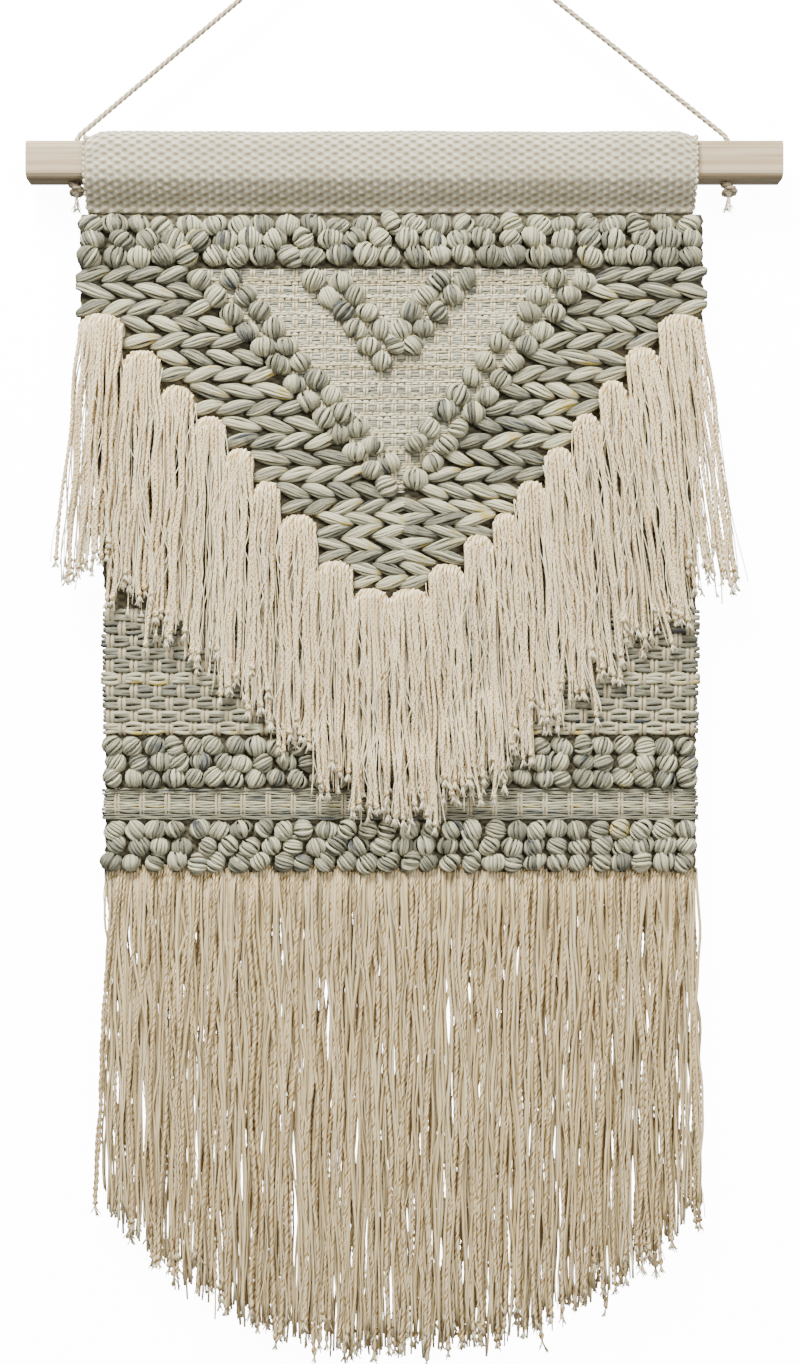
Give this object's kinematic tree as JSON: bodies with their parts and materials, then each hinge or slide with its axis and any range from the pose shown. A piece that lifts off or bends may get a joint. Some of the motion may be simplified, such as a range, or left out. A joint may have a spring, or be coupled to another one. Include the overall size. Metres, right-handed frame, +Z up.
{
  "type": "tapestry wall hanging",
  "caption": "Woven wall hanging on a square wooden batten with a cotton cord, looped and braided wool relief, stepped tufts and a long lower fringe.",
  "frame": {"origin": "underside of the cord's apex, where the nail carries it", "axes": "+X right as seen from the front, +Y towards the wall, +Z up"},
  "size_m": [0.4905, 0.0397, 0.9675],
  "materials": {
    "pine": "raw sanded pine",
    "cotton_cord": "twisted cotton cord",
    "natural_cloth": "thick plain weave, undyed",
    "grey_wool": "heathered grey-green wool with navy and yellow flecks",
    "cream_fringe": "twisted slub cotton, matt"
  },
  "bodies": {
    "rod": {"rod": "pine", "hanging_cord": "cotton_cord", "left_knot": "cotton_cord", "right_knot": "cotton_cord"},
    "sleeve": {"rod_sleeve": "natural_cloth", "hem_stitching": "cotton_cord"},
    "panel": {"ground_cloth": "natural_cloth", "top_loops_1": "grey_wool", "top_loops_2": "grey_wool", "top_loops_3": "grey_wool", "middle_loops_1": "grey_wool", "middle_loops_2": "grey_wool", "middle_loops_3": "grey_wool", "bottom_loops_1": "grey_wool", "bottom_loops_2": "grey_wool", "bottom_loops_3": "grey_wool", "outer_v_left": "grey_wool", "outer_v_right": "grey_wool", "inner_v_left": "grey_wool", "inner_v_right": "grey_wool", "small_v_left": "grey_wool", "small_v_right": "grey_wool", "left_braids_1": "grey_wool", "left_braids_2": "grey_wool", "left_braids_3": "grey_wool", "left_braids_4": "grey_wool", "left_braids_5": "grey_wool", "left_braids_6": "grey_wool", "right_braids_1": "grey_wool", "right_braids_2": "grey_wool", "right_braids_3": "grey_wool", "right_braids_4": "grey_wool", "right_braids_5": "grey_wool", "right_braids_6": "grey_wool", "centre_braids_1": "grey_wool", "centre_braids_2": "grey_wool", "basket_weft": "grey_wool", "ladder_weft": "grey_wool"},
    "left_tuft_1": {"left_tuft_1": "cream_fringe"},
    "left_tuft_2": {"left_tuft_2": "cream_fringe"},
    "left_tuft_3": {"left_tuft_3": "cream_fringe"},
    "left_tuft_4": {"left_tuft_4": "cream_fringe"},
    "left_tuft_5": {"left_tuft_5": "cream_fringe"},
    "left_tuft_6": {"left_tuft_6": "cream_fringe"},
    "left_tuft_7": {"left_tuft_7": "cream_fringe"},
    "left_tuft_8": {"left_tuft_8": "cream_fringe"},
    "left_tuft_9": {"left_tuft_9": "cream_fringe"},
    "right_tuft_1": {"right_tuft_1": "cream_fringe"},
    "right_tuft_2": {"right_tuft_2": "cream_fringe"},
    "right_tuft_3": {"right_tuft_3": "cream_fringe"},
    "right_tuft_4": {"right_tuft_4": "cream_fringe"},
    "right_tuft_5": {"right_tuft_5": "cream_fringe"},
    "right_tuft_6": {"right_tuft_6": "cream_fringe"},
    "right_tuft_7": {"right_tuft_7": "cream_fringe"},
    "right_tuft_8": {"right_tuft_8": "cream_fringe"},
    "right_tuft_9": {"right_tuft_9": "cream_fringe"},
    "right_tuft_10": {"right_tuft_10": "cream_fringe"},
    "lower_fringe": {"lower_fringe_1": "cream_fringe", "lower_fringe_2": "cream_fringe", "lower_fringe_3": "cream_fringe"}
  },
  "joints": [
    {"name": "sleeve_slide", "type": "slide", "parent": "rod", "child": "sleeve", "axis": [1, 0, 0], "range_m": [-0.002, 0.0135]},
    {"name": "panel_swing", "type": "hinge", "parent": "sleeve", "child": "panel", "pos_m": [0, 0, -0.2222], "axis": [-1, 0, 0], "range_deg": [0, 45]},
    {"name": "left_tuft_1_lift", "type": "hinge", "parent": "panel", "child": "left_tuft_1", "pos_m": [-0.1879, -0.0082, -0.2932], "axis": [-1, 0, 0], "range_deg": [0, 60]},
    {"name": "left_tuft_2_lift", "type": "hinge", "parent": "panel", "child": "left_tuft_2", "pos_m": [-0.1632, -0.0082, -0.3171], "axis": [-1, 0, 0], "range_deg": [0, 60]},
    {"name": "left_tuft_3_lift", "type": "hinge", "parent": "panel", "child": "left_tuft_3", "pos_m": [-0.1404, -0.0082, -0.3399], "axis": [-1, 0, 0], "range_deg": [0, 60]},
    {"name": "left_tuft_4_lift", "type": "hinge", "parent": "panel", "child": "left_tuft_4", "pos_m": [-0.1203, -0.0082, -0.36], "axis": [-1, 0, 0], "range_deg": [0, 60]},
    {"name": "left_tuft_5_lift", "type": "hinge", "parent": "panel", "child": "left_tuft_5", "pos_m": [-0.0988, -0.0082, -0.3808], "axis": [-1, 0, 0], "range_deg": [0, 60]},
    {"name": "left_tuft_6_lift", "type": "hinge", "parent": "panel", "child": "left_tuft_6", "pos_m": [-0.0839, -0.0082, -0.4019], "axis": [-1, 0, 0], "range_deg": [0, 60]},
    {"name": "left_tuft_7_lift", "type": "hinge", "parent": "panel", "child": "left_tuft_7", "pos_m": [-0.0644, -0.0082, -0.4237], "axis": [-1, 0, 0], "range_deg": [0, 60]},
    {"name": "left_tuft_8_lift", "type": "hinge", "parent": "panel", "child": "left_tuft_8", "pos_m": [-0.0371, -0.0082, -0.4536], "axis": [-1, 0, 0], "range_deg": [0, 60]},
    {"name": "left_tuft_9_lift", "type": "hinge", "parent": "panel", "child": "left_tuft_9", "pos_m": [-0.0169, -0.0082, -0.4718], "axis": [-1, 0, 0], "range_deg": [0, 60]},
    {"name": "right_tuft_1_lift", "type": "hinge", "parent": "panel", "child": "right_tuft_1", "pos_m": [0.1827, -0.0082, -0.2937], "axis": [-1, 0, 0], "range_deg": [0, 60]},
    {"name": "right_tuft_2_lift", "type": "hinge", "parent": "panel", "child": "right_tuft_2", "pos_m": [0.1599, -0.0082, -0.3148], "axis": [-1, 0, 0], "range_deg": [0, 60]},
    {"name": "right_tuft_3_lift", "type": "hinge", "parent": "panel", "child": "right_tuft_3", "pos_m": [0.1411, -0.0082, -0.3366], "axis": [-1, 0, 0], "range_deg": [0, 60]},
    {"name": "right_tuft_4_lift", "type": "hinge", "parent": "panel", "child": "right_tuft_4", "pos_m": [0.1255, -0.0082, -0.3581], "axis": [-1, 0, 0], "range_deg": [0, 60]},
    {"name": "right_tuft_5_lift", "type": "hinge", "parent": "panel", "child": "right_tuft_5", "pos_m": [0.1079, -0.0082, -0.3802], "axis": [-1, 0, 0], "range_deg": [0, 60]},
    {"name": "right_tuft_6_lift", "type": "hinge", "parent": "panel", "child": "right_tuft_6", "pos_m": [0.0878, -0.0082, -0.4016], "axis": [-1, 0, 0], "range_deg": [0, 60]},
    {"name": "right_tuft_7_lift", "type": "hinge", "parent": "panel", "child": "right_tuft_7", "pos_m": [0.0722, -0.0082, -0.4224], "axis": [-1, 0, 0], "range_deg": [0, 60]},
    {"name": "right_tuft_8_lift", "type": "hinge", "parent": "panel", "child": "right_tuft_8", "pos_m": [0.0566, -0.0082, -0.4367], "axis": [-1, 0, 0], "range_deg": [0, 60]},
    {"name": "right_tuft_9_lift", "type": "hinge", "parent": "panel", "child": "right_tuft_9", "pos_m": [0.0345, -0.0082, -0.4556], "axis": [-1, 0, 0], "range_deg": [0, 60]},
    {"name": "right_tuft_10_lift", "type": "hinge", "parent": "panel", "child": "right_tuft_10", "pos_m": [0.0111, -0.0082, -0.4718], "axis": [-1, 0, 0], "range_deg": [0, 60]},
    {"name": "lower_fringe_lift", "type": "hinge", "parent": "panel", "child": "lower_fringe", "pos_m": [0.004, 0, -0.6543], "axis": [-1, 0, 0], "range_deg": [0, 75]}
  ],
  "couplings": [
    {"joint": "left_tuft_2_lift", "follows": "left_tuft_1_lift", "ratio": 1},
    {"joint": "left_tuft_3_lift", "follows": "left_tuft_1_lift", "ratio": 1},
    {"joint": "left_tuft_4_lift", "follows": "left_tuft_1_lift", "ratio": 1},
    {"joint": "left_tuft_5_lift", "follows": "left_tuft_1_lift", "ratio": 1},
    {"joint": "left_tuft_6_lift", "follows": "left_tuft_1_lift", "ratio": 1},
    {"joint": "left_tuft_7_lift", "follows": "left_tuft_1_lift", "ratio": 1},
    {"joint": "left_tuft_8_lift", "follows": "left_tuft_1_lift", "ratio": 1},
    {"joint": "left_tuft_9_lift", "follows": "left_tuft_1_lift", "ratio": 1},
    {"joint": "right_tuft_2_lift", "follows": "right_tuft_1_lift", "ratio": 1},
    {"joint": "right_tuft_3_lift", "follows": "right_tuft_1_lift", "ratio": 1},
    {"joint": "right_tuft_4_lift", "follows": "right_tuft_1_lift", "ratio": 1},
    {"joint": "right_tuft_5_lift", "follows": "right_tuft_1_lift", "ratio": 1},
    {"joint": "right_tuft_6_lift", "follows": "right_tuft_1_lift", "ratio": 1},
    {"joint": "right_tuft_7_lift", "follows": "right_tuft_1_lift", "ratio": 1},
    {"joint": "right_tuft_8_lift", "follows": "right_tuft_1_lift", "ratio": 1},
    {"joint": "right_tuft_9_lift", "follows": "right_tuft_1_lift", "ratio": 1},
    {"joint": "right_tuft_10_lift", "follows": "right_tuft_1_lift", "ratio": 1}
  ]
}
